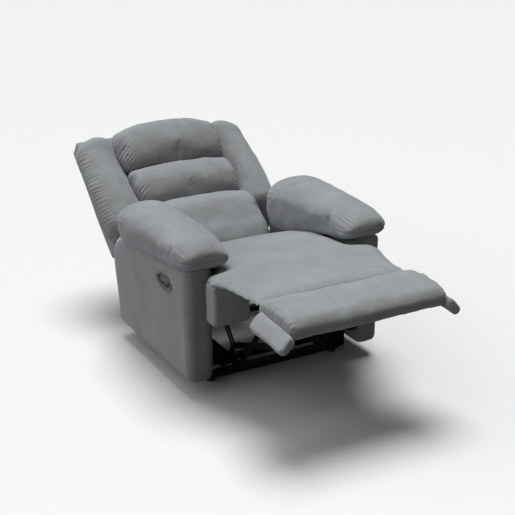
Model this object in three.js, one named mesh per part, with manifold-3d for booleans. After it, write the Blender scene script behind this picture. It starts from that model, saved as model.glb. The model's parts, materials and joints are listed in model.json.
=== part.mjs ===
// Recliner armchair, reclined with the footrest out. Millimetres, +Z up, the sitter faces -Y.
// Profiles are drawn in the (y, z) plane of one side, then given a width along X.
import * as THREE from "three";
import { mergeVertices } from "three/addons/utils/BufferGeometryUtils.js";
import Module from "manifold-3d";

const wasm = await Module();
wasm.setup();

// ---- driving dimensions ----
const GAP = 0.3; // between touching pieces
const RUN = 0.6; // round a pin that turns

const SEAT_HALF = 296; // half width of the seat cushion
const SEAT_CLEAR = 15; // seat cushion to an arm box
const ARM_INNER = SEAT_HALF + SEAT_CLEAR; // inner face of an arm box, from the middle
const ARM_WIDTH = 116; // width of an arm box
const ARM_LIFT = 65; // floor to the arm box
const ARM_FRONT_TOP = 517;
const ARM_TOP_DROP = 52; // the arm's top falls this much towards the back
const ARM_DEPTH = 690;
const ARM_REAR_LEAN = 37; // how far the rear edge leans back on its way up
const PANEL = 14; // thickness of an arm's side panels
const FRAME_BOARD = 20; // wood of the arm's ring frame
const PAD_OVER_SEAT = 79; // the arm pad overhangs the box on the seat side
const PAD_OVER_SIDE = 21; // and on the outer side
const PAD_INNER = ARM_INNER - PAD_OVER_SEAT;
const PAD_OUTER = ARM_INNER + ARM_WIDTH + PAD_OVER_SIDE;
const PAD_RISE = 103; // pad top above the front top of the arm box

const BACK_HINGE = { y: 674, z: 305 };
const BACK_ANGLE = 41.1; // of the reclined back above the horizontal
const BACK_ORIGIN = { y: 849, z: 291 }; // low corner of the rear face
const BACK_TOP = 556; // length of the back above that corner
const CHANNEL_HALF = PAD_INNER - 3; // half width of the back's channels
const BOLSTER_INNER = CHANNEL_HALF + 14;
const BOLSTER_WIDTH = 152;
const BOLSTER_OUTER = BOLSTER_INNER + BOLSTER_WIDTH;
const CHANNEL_DEPTH = 200; // rear face to the front of the channels
const BACK_SWEEP = 189; // radius that the lumbar cushion sweeps about the hinge
const SEAT_SWEEP_GAP = 8;

const EAR_INNER = SEAT_HALF - 78;
const EAR_OUTER = SEAT_HALF + 68;
const SEAT_FRONT = -108;
const SEAT_FRONT_TOP = 506;
const SEAT_REAR_TOP = 402;

const TONG_PIVOT = { y: 45, z: 75 };
const LINK_LENGTH = 300; // between the end pivots of a long link
const LINK_ANGLE_A = 129.3; // of the first link at rest, from +Y towards +Z
const LINK_ANGLE_B = 158.9; // of the crossing link at rest
const LINK_SWING_A = -67.9; // of the first link on folding
const LINK_SWING_B = 49.7;
const LINK_HALF_HEIGHT = 12;
const LINK_THICK = 4;
const PIN_R = 5;
const TUBE_R = 9;
const SLOT_WEB = 17; // half width of the steel round the guide slot
const PLATE_X = 186; // inner face of the mechanism plate, from the middle

const FLAP_HINGE = { y: -113, z: 480 };
const FLAP_LENGTH = 147;
const FLAP_THICK = 24;
const FOOT_HALF = SEAT_HALF + 22; // half width of the footrest's end cushion
const FOOT_BEHIND_PIVOT = 87; // cushion's back edge behind the linkage's last pivot
const FOOT_LENGTH = 240;
const FOOT_RISE = 59; // board top above that pivot, at the cushion's back edge
const WING_WIDTH = 46;
const WING_AHEAD = 16; // of the cushion's front edge
const WING_OUTER = FOOT_HALF + WING_WIDTH;
const FOOT_TILT = 3; // degrees the footrest drops towards its front

const BAR_Y = [119, 223, ARM_DEPTH - 70];
const BAR_HALF = ARM_INNER - 7;
const BAR_DEPTH = 30;
const BAR_LOW = 12;
const BAR_HIGH = 35;
const FOOT_Y = [BAR_Y[0], BAR_Y[2]];
const FOOT_R = 16;

const LATCH = { y: 190, z: ARM_FRONT_TOP - 97, halfLength: 68, halfHeight: 33 };

// ---- materials ----
function material(color, roughness, metalness) {
  return new THREE.MeshStandardMaterial({ color, roughness, metalness });
}
const suede = material(0x74787c, 0.95, 0);
const blackSteel = material(0x17181a, 0.45, 0.8);
const wood = material(0xa98a62, 0.7, 0);
const greyPlastic = material(0x5c6064, 0.5, 0);
const darkPlastic = material(0x1d1e20, 0.6, 0);
const springSteel = material(0x8a8d90, 0.4, 0.9);

// ---- tools ----
const root = new THREE.Group();
const chair = new THREE.Group();
root.add(chair);

function weld(geometry) {
  const plain = geometry.index ? geometry.toNonIndexed() : geometry.clone();
  plain.deleteAttribute("normal");
  plain.deleteAttribute("uv");
  return mergeVertices(plain, 1e-4);
}

function solid(geometry) {
  const merged = weld(geometry);
  const mesh = new wasm.Mesh({
    numProp: 3,
    vertProperties: new Float32Array(merged.attributes.position.array),
    triVerts: new Uint32Array(merged.index.array),
  });
  return new wasm.Manifold(mesh);
}

function surface(manifold) {
  const mesh = manifold.getMesh();
  const geometry = new THREE.BufferGeometry();
  geometry.setAttribute("position", new THREE.BufferAttribute(mesh.vertProperties, 3));
  geometry.setIndex(new THREE.BufferAttribute(mesh.triVerts, 1));
  geometry.computeVertexNormals();
  return geometry;
}

function put(name, geometry, look) {
  const mesh = new THREE.Mesh(geometry, look);
  mesh.name = name;
  chair.add(mesh);
}

// A (y, z) outline given a width from x0 to x1.
function slab(outline, x0, x1, holes = []) {
  const shape = new THREE.Shape(outline.map(([y, z]) => new THREE.Vector2(y, z)));
  shape.holes = holes.map((hole) => new THREE.Path(hole.map(([y, z]) => new THREE.Vector2(y, z))));
  const geometry = new THREE.ExtrudeGeometry(shape, { depth: x1 - x0, bevelEnabled: false });
  const toFrame = new THREE.Matrix4().set(0, 0, 1, x0, 1, 0, 0, 0, 0, 1, 0, 0, 0, 0, 0, 1);
  geometry.applyMatrix4(toFrame);
  return geometry;
}

// A slab on one side: side is -1 for the sitter's right, +1 for the left.
function sideSlab(side, outline, nearX, farX, holes = []) {
  return side > 0 ? slab(outline, nearX, farX, holes) : slab(outline, -farX, -nearX, holes);
}

function arc(y, z, radius, from, to, steps) {
  const points = [];
  for (let i = 0; i <= steps; i += 1) {
    const angle = THREE.MathUtils.degToRad(from + ((to - from) * i) / steps);
    points.push([y + radius * Math.cos(angle), z + radius * Math.sin(angle)]);
  }
  return points;
}

function ring(y, z, radius, steps = 16) {
  return arc(y, z, radius, 0, 360, steps).slice(0, -1);
}

function crossRod(y, z, radius, x0, x1, steps = 16) {
  return slab(ring(y, z, radius, steps), x0, x1);
}

function sideRod(side, y, z, radius, nearX, farX) {
  return sideSlab(side, ring(y, z, radius), nearX, farX);
}

function join(...geometries) {
  return surface(geometries.map(solid).reduce((sum, next) => sum.add(next)));
}

function box(x0, x1, y0, y1, z0, z1) {
  return slab([[y0, z0], [y1, z0], [y1, z1], [y0, z1]], x0, x1);
}

// A flat outline in (x, y), given a height.
function plate(outline, z0, z1) {
  const shape = new THREE.Shape(outline.map(([x, y]) => new THREE.Vector2(x, y)));
  const geometry = new THREE.ExtrudeGeometry(shape, { depth: z1 - z0, bevelEnabled: false });
  geometry.translate(0, 0, z0);
  return geometry;
}

function both(make) {
  make(-1, "right");
  make(1, "left");
}

function along(angle, distance, from) {
  const radians = THREE.MathUtils.degToRad(angle);
  return { y: from.y + distance * Math.cos(radians), z: from.z + distance * Math.sin(radians) };
}

// ---- the two arms ----
const armOuter = ARM_INNER + ARM_WIDTH;
const armRearTop = ARM_DEPTH + ARM_REAR_LEAN;
const armCorner = 116; // height of the rounded rear top corner
const armSlope = -ARM_TOP_DROP / (armRearTop - armCorner);

function armTop(y) {
  return ARM_FRONT_TOP + armSlope * y;
}

function armOutline(inset) {
  const cornerY = armRearTop - armCorner;
  const rearLow = armTop(cornerY) - armCorner;
  const corner = arc(cornerY, rearLow, armCorner - inset, 0, 84, 7);
  return [
    [inset, ARM_LIFT + inset],
    [ARM_DEPTH - inset, ARM_LIFT + inset],
    ...corner,
    [inset, armTop(inset) - inset],
  ];
}

function latchOval(grow) {
  const points = [];
  const turns = 20;
  for (let i = 0; i < turns; i += 1) {
    const angle = (i / turns) * Math.PI * 2;
    const y = LATCH.y + (LATCH.halfLength + grow) * Math.cos(angle);
    const z = LATCH.z + (LATCH.halfHeight + grow) * Math.sin(angle);
    points.push([y, z]);
  }
  return points;
}

const padLow = 4; // the pad lies this far above the arm box
const padTop = ARM_FRONT_TOP + PAD_RISE;
const padNose = { y: 4, z: padTop - 54, r: 34 };
const padRear = { y: armRearTop - 149, z: padTop - 90, r: 46 };
both((side, name) => {
  const holes = side < 0 ? [latchOval(-8 + GAP)] : [];
  put(`arm_${name}_frame`, sideSlab(side, armOutline(1), ARM_INNER + PANEL + GAP,
    armOuter - PANEL - GAP, [armOutline(FRAME_BOARD)]), wood);
  put(`arm_${name}_outer_panel`, sideSlab(side, armOutline(0), armOuter - PANEL, armOuter, holes), suede);
  put(`arm_${name}_inner_panel`, sideSlab(side, armOutline(0), ARM_INNER, ARM_INNER + PANEL), suede);
  const pad = [
    ...arc(padNose.y, padNose.z, padNose.r, 150, 250, 5),
    [60, armTop(60) + padLow],
    [padRear.y - 40, armTop(padRear.y - 40) + padLow],
    ...arc(padRear.y, padRear.z, padRear.r, -70, 60, 6),
    [padRear.y - 78, padTop - 8],
    [padRear.y - 148, padTop],
    [padRear.y - 338, padTop - 5],
    [80, padTop - 18],
    [0, padTop - 36],
  ];
  put(`arm_${name}_pad`, sideSlab(side, pad, PAD_INNER, PAD_OUTER), suede);
});

// ---- recline latch in the right arm ----
const cupDepth = 34;
const cupWall = 2.4;
const latchFace = -armOuter;
const cupFlange = slab(latchOval(0), latchFace - 3.4, latchFace - GAP);
const cupBowl = slab(latchOval(-8 - GAP), latchFace - 3.4, latchFace + cupDepth);
const cupHollow = slab(latchOval(-8 - cupWall), latchFace - 8, latchFace + cupDepth - cupWall);
put("latch_cup", surface(solid(cupFlange).add(solid(cupBowl)).subtract(solid(cupHollow))), darkPlastic);

function paddleOutline() {
  return [
    ...arc(LATCH.y - 8, LATCH.z, 15, 100, 260, 8),
    [LATCH.y + 14, LATCH.z - 10],
    ...arc(LATCH.y + 32, LATCH.z, 14, -80, 80, 6),
    [LATCH.y + 14, LATCH.z + 10],
  ];
}
const paddleBody = slab(paddleOutline(), latchFace + 4, latchFace + 10);
put("latch_paddle", paddleBody, greyPlastic);

// ---- low base: cross bars, side rails, feet and glide channels ----
BAR_Y.forEach((y, index) => {
  const names = ["front_bar", "middle_bar", "rear_bar"];
  put(names[index], box(-BAR_HALF, BAR_HALF, y - BAR_DEPTH / 2, y + BAR_DEPTH / 2, BAR_LOW, BAR_HIGH),
    blackSteel);
});
const railSteel = 4;
both((side, name) => {
  const flange = [[-0.5, 0], [-42, 0], [-42, railSteel], [-0.5 - railSteel, railSteel],
    [-0.5 - railSteel, 74], [-0.5, 74]];
  const section = flange.map(([x, z]) => [side * (ARM_INNER + x), BAR_HIGH + GAP + z]);
  const shape = new THREE.Shape(section.map(([x, z]) => new THREE.Vector2(x, z)));
  const railStart = BAR_Y[0] - 45;
  const railEnd = BAR_Y[2] + 45;
  const geometry = new THREE.ExtrudeGeometry(shape, { depth: railEnd - railStart, bevelEnabled: false });
  geometry.rotateX(Math.PI / 2);
  geometry.translate(0, railEnd, 0);
  put(`base_rail_${name}`, geometry, blackSteel);
  FOOT_Y.forEach((y, index) => {
    const foot = new THREE.CylinderGeometry(FOOT_R, FOOT_R + 2, BAR_LOW - GAP, 20);
    foot.rotateX(Math.PI / 2);
    foot.translate(side * (BAR_HALF - 28), y, (BAR_LOW - GAP) / 2);
    put(`foot_${name}_${index === 0 ? "front" : "rear"}`, foot, darkPlastic);
  });
});

const plateThick = 4;
const channelNear = PLATE_X + plateThick + 6;
const channelFar = channelNear + 22;
const rollerZ = 70;
const rollerR = 9;
const rollerY = [150, 330];
const slideTravel = 25;
both((side, name) => {
  const low = rollerZ - rollerR - 0.6;
  const high = rollerZ + rollerR + 0.6;
  const wall = 4;
  const section = [
    [channelNear, low], [channelNear, low - wall], [channelFar - wall, low - wall],
    [channelFar - wall, BAR_HIGH + GAP], [channelFar, BAR_HIGH + GAP], [channelFar, high + wall],
    [channelNear, high + wall], [channelNear, high], [channelFar - wall, high], [channelFar - wall, low],
  ];
  const shape = new THREE.Shape(section.map(([x, z]) => new THREE.Vector2(side * x, z)));
  const start = BAR_Y[0] - 12;
  const end = rollerY[1] + slideTravel + 40;
  const geometry = new THREE.ExtrudeGeometry(shape, { depth: end - start, bevelEnabled: false });
  geometry.rotateX(Math.PI / 2);
  geometry.translate(0, end, 0);
  put(`glide_channel_${name}`, geometry, blackSteel);
});

// ---- footrest linkage ----
function linkAngles(t) {
  return { a: LINK_ANGLE_A + LINK_SWING_A * t, b: LINK_ANGLE_B + LINK_SWING_B * t };
}

function linkPoints(t) {
  const { a, b } = linkAngles(t);
  const half = LINK_LENGTH / 2;
  const points = { A: TONG_PIVOT };
  points.M1 = along(a, half, points.A);
  points.D1 = along(a, LINK_LENGTH, points.A);
  points.B = along(b, -half, points.M1);
  points.E1 = along(b, half, points.M1);
  points.M2 = along(b, half, points.D1);
  points.C = along(b, LINK_LENGTH, points.D1);
  return points;
}
const rest = linkPoints(0);
const footBack = rest.C.y + FOOT_BEHIND_PIVOT;
const footFront = footBack - FOOT_LENGTH;

// A flat link between two pivots with round ends.
function linkOutline(from, to, halfHeight = LINK_HALF_HEIGHT) {
  const angle = THREE.MathUtils.radToDeg(Math.atan2(to.z - from.z, to.y - from.y));
  return [
    ...arc(to.y, to.z, halfHeight, angle - 90, angle + 90, 8),
    ...arc(from.y, from.z, halfHeight, angle + 90, angle + 270, 8),
  ];
}

const layerOuter = PLATE_X - 2 - LINK_THICK; // links beside the plate
const layerInner = layerOuter - 2 - LINK_THICK;
const layerThird = layerInner - 2 - LINK_THICK;
const hole = (p, r = PIN_R + RUN) => ring(p.y, p.z, r);
const headR = PIN_R + 3.5;

// A pin from the outer layer through the inner layer, with a rivet head.
function pinInwards(side, p, fromX, toX) {
  const shank = sideRod(side, p.y, p.z, PIN_R, toX - 0.6, fromX);
  const head = sideRod(side, p.y, p.z, headR, toX - 3, toX - 0.6);
  return [shank, head];
}

// The slot in the mechanism plate that guides the crossing link's rear pin.
function guideSlot(radius) {
  const upper = [];
  const lower = [];
  const steps = 10;
  for (let i = 0; i <= steps; i += 1) {
    const t = i / steps;
    const here = linkPoints(t).B;
    const next = linkPoints(t + 0.01).B;
    const heading = THREE.MathUtils.radToDeg(Math.atan2(next.z - here.z, next.y - here.y));
    const left = along(heading + 90, radius, here);
    const right = along(heading - 90, radius, here);
    upper.push([left.y, left.z]);
    lower.push([right.y, right.z]);
    if (i === 0) {
      upper.unshift(...arc(here.y, here.z, radius, heading + 270, heading + 90, 6).slice(1, -1));
    }
    if (i === steps) {
      upper.push(...arc(here.y, here.z, radius, heading + 90, heading - 90, 6).slice(1, -1));
    }
  }
  return [...upper, ...lower.reverse()];
}

const seatUnder = { front: 410, slope: -0.166, from: -28 };
function underSeat(y) {
  return seatUnder.front + seatUnder.slope * (y - seatUnder.from);
}

const frontBoard = { y0: -28, y1: 20, z0: 390.5, z1: 401 };
const rearRail = { y0: 440, y1: 470, drop: 40 };
both((side, name) => {
  const strut = (from, to, halfWidth) => sideSlab(side, linkOutline(from, to, halfWidth),
    PLATE_X, PLATE_X + plateThick);
  const slotLow = rest.B;
  const slotHigh = linkPoints(1).B;
  const seatRail = { y: rearRail.y0 + 5, z: underSeat(rearRail.y1) - rearRail.drop - 4 - GAP - 12 };
  const frontTop = { y: frontBoard.y0 + 22, z: frontBoard.z0 - GAP - 16 };
  const footFrontEnd = TONG_PIVOT;
  const footRearEnd = { y: rollerY[1] + 10, z: TONG_PIVOT.z };
  const heel = { y: slotLow.y + 34, z: TONG_PIVOT.z };
  const web = sideSlab(side, guideSlot(SLOT_WEB), PLATE_X, PLATE_X + plateThick);
  let body = solid(strut(footFrontEnd, footRearEnd, 19));
  body = body.add(solid(web));
  body = body.add(solid(strut(heel, slotLow, 16)));
  body = body.add(solid(strut(slotHigh, frontTop, 15)));
  body = body.add(solid(strut(slotHigh, seatRail, 11)));
  body = body.subtract(solid(sideSlab(side, guideSlot(PIN_R + 1.2), PLATE_X - 2, PLATE_X + plateThick + 2)));
  body = body.subtract(solid(sideRod(side, rest.A.y, rest.A.z, TUBE_R + RUN, PLATE_X - 2,
    PLATE_X + plateThick + 2)));
  rollerY.forEach((y) => {
    body = body.add(solid(sideRod(side, y, rollerZ, rollerR, PLATE_X + 1, channelFar - 6)));
  });
  put(`mechanism_plate_${name}`, surface(body), blackSteel);

  const linkA = sideSlab(side, linkOutline(rest.A, rest.D1), layerOuter, layerOuter + LINK_THICK,
    [hole(rest.A, TUBE_R + GAP)]);
  put(`link_a_${name}`, join(linkA, ...pinInwards(side, rest.M1, layerOuter + 1, layerInner),
    ...pinInwards(side, rest.D1, layerOuter + 1, layerInner)), blackSteel);

  const linkB = sideSlab(side, linkOutline(rest.B, rest.E1), layerInner, layerInner + LINK_THICK,
    [hole(rest.M1), hole(rest.E1)]);
  const slotPin = sideRod(side, rest.B.y, rest.B.z, PIN_R, layerInner + 1, PLATE_X + plateThick + 2);
  put(`link_b_${name}`, join(linkB, slotPin), blackSteel);

  const linkC = sideSlab(side, linkOutline(rest.D1, rest.C), layerInner, layerInner + LINK_THICK,
    [hole(rest.D1), hole(rest.M2)]);
  const [endPin, endHead] = pinInwards(side, rest.C, layerInner + 1, layerThird);
  put(`link_c_${name}`, join(linkC, endPin, endHead), blackSteel);

  const linkD = sideSlab(side, linkOutline(rest.E1, rest.M2), layerOuter, layerOuter + LINK_THICK);
  put(`link_d_${name}`, join(linkD, ...pinInwards(side, rest.M2, layerOuter + 1, layerInner),
    ...pinInwards(side, rest.E1, layerOuter + 1, layerInner)), blackSteel);
});
put("torsion_tube", crossRod(rest.A.y, rest.A.z, TUBE_R, -PLATE_X - plateThick - 2,
  PLATE_X + plateThick + 2, 20), blackSteel);

// ---- seat ----
put("seat_front_board", box(-SEAT_HALF + 6, SEAT_HALF - 6, frontBoard.y0, frontBoard.y1,
  frontBoard.z0, frontBoard.z1), wood);
const sideRailNear = SEAT_HALF - 28;
const sideRailFar = SEAT_HALF - 6;
const rearRailTop = underSeat(rearRail.y1) - 3;
put("seat_rear_rail", box(-sideRailNear + GAP, sideRailNear - GAP, rearRail.y0, rearRail.y1,
  rearRailTop - rearRail.drop + 3, rearRailTop), wood);

const hingeBoss = 26;
const hingePinR = 8;
both((side, name) => {
  const outline = [
    [frontBoard.y1 + GAP, underSeat(frontBoard.y1) - 46],
    [rearRail.y1, underSeat(rearRail.y1) - 44],
    ...arc(BACK_HINGE.y, BACK_HINGE.z, hingeBoss, -95, 95, 9),
    [rearRail.y1 + 6, underSeat(rearRail.y1) - 3],
    [frontBoard.y1 + GAP, underSeat(frontBoard.y1) - 3],
  ];
  const rail = sideSlab(side, outline, sideRailNear, sideRailFar);
  const pin = sideRod(side, BACK_HINGE.y, BACK_HINGE.z, hingePinR, sideRailNear - 30, sideRailNear + 2);
  put(`seat_side_rail_${name}`, join(rail, pin), wood);
});

class SinuousCurve extends THREE.Curve {
  constructor(x, start, end) {
    super();
    this.x = x;
    this.start = start;
    this.end = end;
  }

  getPoint(t, target = new THREE.Vector3()) {
    const waves = 7;
    const x = this.x + 18 * Math.sin(t * waves * Math.PI * 2);
    const y = THREE.MathUtils.lerp(this.start.y, this.end.y, t);
    const z = THREE.MathUtils.lerp(this.start.z, this.end.z, t);
    return target.set(x, y, z);
  }
}

const wireR = 2;
const springStart = { y: frontBoard.y1 + wireR + 0.6, z: underSeat(frontBoard.y1) - 7 };
const springEnd = { y: rearRail.y0 - wireR - 0.6, z: underSeat(rearRail.y0) - 8 };
[-85, 85].forEach((x, index) => {
  const section = new THREE.Shape();
  section.absarc(0, 0, wireR, 0, Math.PI * 2, false);
  const path = new SinuousCurve(x, springStart, springEnd);
  const geometry = new THREE.ExtrudeGeometry(section, {
    steps: 56, curveSegments: 3, bevelEnabled: false, extrudePath: path,
  });
  put(`seat_spring_${index === 0 ? "right" : "left"}`, geometry, springSteel);
});

const seatSweep = BACK_SWEEP + SEAT_SWEEP_GAP;
const seatRearUp = 180 - THREE.MathUtils.radToDeg(Math.asin((SEAT_REAR_TOP - BACK_HINGE.z) / seatSweep));
const seatLowRise = underSeat(BACK_HINGE.y - seatSweep) + 2 - BACK_HINGE.z;
const seatRearLow = 180 - THREE.MathUtils.radToDeg(Math.asin(seatLowRise / seatSweep));
const earTop = SEAT_FRONT_TOP - 2;
const earRear = -32;
const cushionOutline = [
  [-4, underSeat(-4) + 1],
  ...arc(BACK_HINGE.y, BACK_HINGE.z, seatSweep, seatRearLow, seatRearUp, 4),
  [380, 436],
  [230, 472],
  [90, 498],
  [-10, SEAT_FRONT_TOP + 2],
  [-70, SEAT_FRONT_TOP],
  [SEAT_FRONT, SEAT_FRONT_TOP - 14],
  [SEAT_FRONT, FLAP_HINGE.z - 8],
  [SEAT_FRONT + 14, FLAP_HINGE.z - 36],
  [frontBoard.y0 - 2, frontBoard.z1 + 4],
];
const noseHalf = EAR_INNER - 1;
const cushionPlan = [
  [-noseHalf, SEAT_FRONT - 5], [noseHalf, SEAT_FRONT - 5], [noseHalf, -6], [SEAT_HALF, -6],
  [SEAT_HALF, 700], [-SEAT_HALF, 700], [-SEAT_HALF, -6], [-noseHalf, -6],
];
const cushionSide = solid(slab(cushionOutline, -SEAT_HALF - 1, SEAT_HALF + 1));
put("seat_cushion", surface(cushionSide.intersect(solid(plate(cushionPlan, 200, 600)))), suede);

both((side, name) => {
  const outline = [
    [earRear, 322],
    [earRear, earTop],
    ...arc(-80, earTop - 22, 22, 90, 180, 4),
    [SEAT_FRONT - 3, 336],
    ...arc(-94, 336, 14, 200, 270, 3),
  ];
  put(`seat_ear_${name}`, sideSlab(side, outline.reverse(), EAR_INNER, EAR_OUTER), suede);
});

// ---- folding flap between the seat and the footrest ----
const flapLow = FLAP_HINGE.z + 2;
const flapBack = FLAP_HINGE.y - 5;
put("chaise_flap", slab([
  [flapBack, flapLow],
  [flapBack, flapLow + FLAP_THICK],
  [flapBack - FLAP_LENGTH + 8, flapLow + FLAP_THICK],
  [flapBack - FLAP_LENGTH, flapLow + FLAP_THICK - 8],
  [flapBack - FLAP_LENGTH, flapLow],
], -FOOT_HALF + 4, FOOT_HALF - 4), suede);

// ---- footrest ----
const boardThick = 12;
const tilt = Math.tan(THREE.MathUtils.degToRad(FOOT_TILT));
function boardTop(y) {
  return rest.C.z + FOOT_RISE + tilt * (y - footBack);
}
put("footrest_board", slab([
  [footBack - 12, boardTop(footBack - 12) - boardThick],
  [footBack - 12, boardTop(footBack - 12)],
  [footFront + 10, boardTop(footFront + 10)],
  [footFront + 10, boardTop(footFront + 10) - boardThick],
], -FOOT_HALF + 6, FOOT_HALF - 6), wood);
const footTop = boardTop(footBack) + 35;
put("footrest_cushion", slab([
  [footBack, boardTop(footBack) + 6],
  [footBack, footTop - 7],
  [footBack - 12, footTop],
  [footFront + 86, footTop - 1],
  [footFront + 21, footTop - 8],
  ...arc(footFront + 14, footTop - 22, 14, 90, 180, 4),
  [footFront, boardTop(footFront) + GAP + 6],
  [footFront + 8, boardTop(footFront + 8) + GAP],
  [footBack - 8, boardTop(footBack - 8) + GAP],
], -FOOT_HALF, FOOT_HALF), suede);

const wingRoot = FOOT_HALF - 5;
both((side, name) => {
  // Section in (x, z): a thick flap that slopes down and out from the board's edge.
  const section = [
    [wingRoot, -18], [wingRoot + 8, -26], [WING_OUTER - 22, -50], [WING_OUTER - 4, -46],
    [WING_OUTER, -32], [WING_OUTER - 14, -16], [FOOT_HALF + 12, 4], [FOOT_HALF + 2, 0],
    [FOOT_HALF + 1.5, -14],
  ];
  const level = boardTop(footBack);
  const shape = new THREE.Shape(section.map(([x, z]) => new THREE.Vector2(side * x, level + z)));
  const back = footBack - 40;
  const front = footFront - WING_AHEAD;
  const geometry = new THREE.ExtrudeGeometry(shape, { depth: back - front, bevelEnabled: false });
  geometry.rotateX(Math.PI / 2);
  geometry.translate(0, back, 0);
  // The wing drops with the board.
  const drop = new THREE.Matrix4().set(1, 0, 0, 0, 0, 1, 0, 0, 0, tilt, 1, -tilt * (back - 10), 0, 0, 0, 1);
  geometry.applyMatrix4(drop);
  put(`footrest_wing_${name}`, geometry, suede);

  const foot = [
    ...arc(rest.C.y, rest.C.z, LINK_HALF_HEIGHT, 180, 360, 8),
    [rest.C.y + 40, boardTop(rest.C.y + 40) - boardThick - GAP],
    [rest.C.y - 70, boardTop(rest.C.y - 70) - boardThick - GAP],
  ];
  put(`footrest_bracket_${name}`, sideSlab(side, foot, layerThird, layerThird + LINK_THICK, [hole(rest.C)]),
    blackSteel);
});

// ---- back: drawn in (s, t), s up along the rear face and t forward from it ----
const cosBack = Math.cos(THREE.MathUtils.degToRad(BACK_ANGLE));
const sinBack = Math.sin(THREE.MathUtils.degToRad(BACK_ANGLE));
function fromBack([s, t]) {
  return [BACK_ORIGIN.y + s * cosBack - t * sinBack, BACK_ORIGIN.z + s * sinBack + t * cosBack];
}
function toBack(y, z) {
  const dy = y - BACK_ORIGIN.y;
  const dz = z - BACK_ORIGIN.z;
  return [dy * cosBack + dz * sinBack, -dy * sinBack + dz * cosBack];
}
const [hingeS, hingeT] = toBack(BACK_HINGE.y, BACK_HINGE.z);
const postRear = 17;
const postFront = 60;

put("back_panel", slab([[-4, 0], [BACK_TOP - 6, 0], [BACK_TOP, 6], [BACK_TOP, 14], [-4, 14]]
  .map(fromBack).reverse(), -BOLSTER_OUTER + 8, BOLSTER_OUTER - 8), suede);
both((side, name) => {
  const boss = arc(hingeS, hingeT, hingeBoss - 2, 60, 240, 10);
  const outline = [...boss, [20, postRear], [BACK_TOP - 40, postRear], [BACK_TOP - 40, postFront],
    [40, postFront]].map(fromBack);
  put(`back_post_${name}`, sideSlab(side, outline, sideRailNear - 27.5, sideRailNear - 5.5,
    [hole(BACK_HINGE, hingePinR + RUN)]), wood);

  // Section in (x, t), run along the back.
  const clearOfPost = sideRailNear - 3;
  const section = [
    [clearOfPost, 16], [BOLSTER_OUTER - 14, 16], [BOLSTER_OUTER, 30], [BOLSTER_OUTER, 120],
    [BOLSTER_OUTER - 13, 152], [BOLSTER_OUTER - 45, 172], [BOLSTER_INNER + 63, 178],
    [BOLSTER_INNER + 21, 168], [BOLSTER_INNER, 140], [BOLSTER_INNER, 64], [clearOfPost, 64],
  ];
  const shape = new THREE.Shape(section.map(([x, t]) => new THREE.Vector2(side * x, t)));
  const low = 44;
  const geometry = new THREE.ExtrudeGeometry(shape, { depth: BACK_TOP - low, bevelEnabled: false });
  // The extrusion runs down the back from its top.
  const place = new THREE.Matrix4().set(
    1, 0, 0, 0,
    0, -sinBack, -cosBack, BACK_ORIGIN.y + BACK_TOP * cosBack,
    0, cosBack, -sinBack, BACK_ORIGIN.z + BACK_TOP * sinBack,
    0, 0, 0, 1,
  );
  geometry.applyMatrix4(place);
  put(`back_bolster_${name}`, geometry, suede);
});
["lower", "upper"].forEach((name, index) => {
  const s = index === 0 ? 40 : BACK_TOP - 90;
  const outline = [[s, postRear], [s + 45, postRear], [s + 45, postFront - 6], [s, postFront - 6]];
  const half = sideRailNear - 28;
  put(`back_rail_${name}`, slab(outline.map(fromBack), -half, half), wood);
});

const seam2 = 116;
const seam1 = 317;
const cushionRear = 62;
const seamGap = 1.5;
function channel(name, outline) {
  put(name, slab(outline.map(fromBack), -CHANNEL_HALF, CHANNEL_HALF), suede);
}
function crowned(low, high, edge, crown) {
  const points = [];
  const steps = 8;
  for (let i = 0; i <= steps; i += 1) {
    const u = i / steps;
    points.push([high + (low - high) * u, edge + crown * Math.pow(Math.sin(Math.PI * u), 0.6)]);
  }
  return points;
}
channel("back_middle_cushion", [[seam2 + seamGap, cushionRear], [seam1 - seamGap, cushionRear],
  ...crowned(seam2 + seamGap, seam1 - seamGap, CHANNEL_DEPTH - 12, 32)]);
channel("back_head_cushion", [[seam1 + seamGap, cushionRear], [BACK_TOP - 44, cushionRear],
  ...arc(BACK_TOP - 44, 110, 36, -60, 40, 5),
  ...arc(BACK_TOP - 66, CHANNEL_DEPTH - 45, 50, 20, 90, 4),
  [BACK_TOP - 126, CHANNEL_DEPTH + 4], [seam1 + 43, CHANNEL_DEPTH - 1],
  [seam1 + seamGap, CHANNEL_DEPTH - 14]]);

// The lumbar cushion's lower front is an arc about the back hinge.
const sweepFrom = 176;
const sweepTo = 116;
const lumbarArc = arc(BACK_HINGE.y, BACK_HINGE.z, BACK_SWEEP, sweepTo, sweepFrom, 8);
const lumbarLow = along(sweepFrom, BACK_SWEEP - 70, BACK_HINGE);
put("back_lumbar_cushion", slab([
  fromBack([seam2 - seamGap, cushionRear]),
  fromBack([seam2 - seamGap, CHANNEL_DEPTH - 4]),
  fromBack([92, 250]),
  fromBack([50, 284]),
  fromBack([5, 304]),
  ...lumbarArc,
  [lumbarLow.y, lumbarLow.z],
  fromBack([-60, 150]),
  fromBack([0, cushionRear]),
], -CHANNEL_HALF, CHANNEL_HALF), suede);

// ---- origin at the middle of the footprint, on the floor ----
const bounds = new THREE.Box3().setFromObject(chair);
const middle = bounds.getCenter(new THREE.Vector3());
chair.position.set(-middle.x, -middle.y, -bounds.min.z);
root.updateMatrixWorld(true);

export default root;
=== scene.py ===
import json
import math
import bpy
import bmesh
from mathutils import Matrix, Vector, noise


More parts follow.
